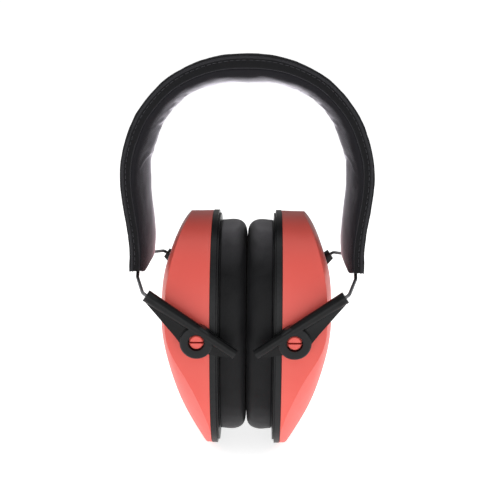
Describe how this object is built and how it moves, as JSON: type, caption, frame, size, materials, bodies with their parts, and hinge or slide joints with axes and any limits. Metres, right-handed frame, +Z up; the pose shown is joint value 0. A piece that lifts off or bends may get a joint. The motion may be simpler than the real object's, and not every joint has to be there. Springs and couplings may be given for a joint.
{
  "type": "earmuff hearing protector",
  "caption": "Folding passive earmuff: padded sprung headband, wire yokes that slide in clips, oval cups on tilting pivots and soft ring cushions.",
  "frame": {"origin": "on the surface the closed muff stands on, midway between the two cups, in the plane where the cushions meet", "axes": "+Z up towards the crown of the headband, +X towards the cup on the right as seen from the front, +Y to the rear"},
  "size_m": [0.1104, 0.0884, 0.1814],
  "materials": {
    "coral_plastic": "satin moulded",
    "black_plastic": "satin moulded",
    "steel_wire": "drawn spring wire",
    "spring_steel": "rolled strip",
    "zinc_steel": "plated",
    "black_fabric": "woven",
    "black_binding": "woven tape",
    "black_leatherette": "soft grained",
    "grey_foam": "open-cell foam",
    "black_foam": "open-cell foam"
  },
  "bodies": {
    "headband": {"headband_cover": "black_fabric", "headband_lining": "black_fabric", "headband_foam_pad": "black_foam", "headband_edge_binding_front": "black_binding", "headband_edge_binding_rear": "black_binding", "headband_spring_strip": "spring_steel"},
    "band_end_left": {"hinge_bracket_left": "zinc_steel", "bracket_rivets_left": "zinc_steel"},
    "yoke_left": {"wire_yoke_left": "steel_wire"},
    "clips_left": {"wire_clip_front_left": "black_plastic", "wire_clip_rear_left": "black_plastic"},
    "cup_left": {"pivot_pins_left": "coral_plastic", "cup_shell_left": "coral_plastic", "base_plate_left": "black_plastic", "acoustic_foam_left": "grey_foam", "ear_screen_foam_left": "black_foam", "ear_cushion_skin_left": "black_leatherette", "ear_cushion_foam_left": "black_foam", "cushion_snap_ring_left": "black_plastic"},
    "band_end_right": {"hinge_bracket_right": "zinc_steel", "bracket_rivets_right": "zinc_steel"},
    "yoke_right": {"wire_yoke_right": "steel_wire"},
    "clips_right": {"wire_clip_front_right": "black_plastic", "wire_clip_rear_right": "black_plastic"},
    "cup_right": {"pivot_pins_right": "coral_plastic", "cup_shell_right": "coral_plastic", "base_plate_right": "black_plastic", "acoustic_foam_right": "grey_foam", "ear_screen_foam_right": "black_foam", "ear_cushion_skin_right": "black_leatherette", "ear_cushion_foam_right": "black_foam", "cushion_snap_ring_right": "black_plastic"}
  },
  "joints": [
    {"name": "left_arm_spread", "type": "hinge", "parent": "headband", "child": "band_end_left", "pos_m": [0, 0, 0.17494], "axis": [0, 1, 0], "range_deg": [0, 28], "stiffness_Nm_per_rad": 1.5, "deforming": ["headband_cover", "headband_lining", "headband_foam_pad", "headband_edge_binding_front", "headband_edge_binding_rear", "headband_spring_strip"]},
    {"name": "left_yoke_swing", "type": "hinge", "parent": "band_end_left", "child": "yoke_left", "pos_m": [-0.0484, 0, 0.08784], "axis": [0, 1, 0], "range_deg": [0, 46]},
    {"name": "left_height", "type": "slide", "parent": "yoke_left", "child": "clips_left", "axis": [0.8247, 0, -0.5656], "range_m": [0, 0.025]},
    {"name": "left_cup_tilt", "type": "hinge", "parent": "clips_left", "child": "cup_left", "pos_m": [-0.02105, 0, 0.06044], "axis": [0, -1, 0], "range_deg": [0, 46]},
    {"name": "right_arm_spread", "type": "hinge", "parent": "headband", "child": "band_end_right", "pos_m": [0, 0, 0.17494], "axis": [0, -1, 0], "range_deg": [0, 28], "stiffness_Nm_per_rad": 1.5},
    {"name": "right_yoke_swing", "type": "hinge", "parent": "band_end_right", "child": "yoke_right", "pos_m": [0.0484, 0, 0.08784], "axis": [0, -1, 0], "range_deg": [0, 46]},
    {"name": "right_height", "type": "slide", "parent": "yoke_right", "child": "clips_right", "axis": [-0.8247, 0, -0.5656], "range_m": [0, 0.025]},
    {"name": "right_cup_tilt", "type": "hinge", "parent": "clips_right", "child": "cup_right", "pos_m": [0.02105, 0, 0.06044], "axis": [0, 1, 0], "range_deg": [0, 46]}
  ],
  "couplings": [
    {"joint": "left_yoke_swing", "follows": "left_height", "rad_per_m": 32},
    {"joint": "left_cup_tilt", "follows": "left_height", "rad_per_m": 32},
    {"joint": "right_yoke_swing", "follows": "right_height", "rad_per_m": 32},
    {"joint": "right_cup_tilt", "follows": "right_height", "rad_per_m": 32},
    {"joint": "right_arm_spread", "follows": "left_arm_spread", "ratio": 1}
  ]
}
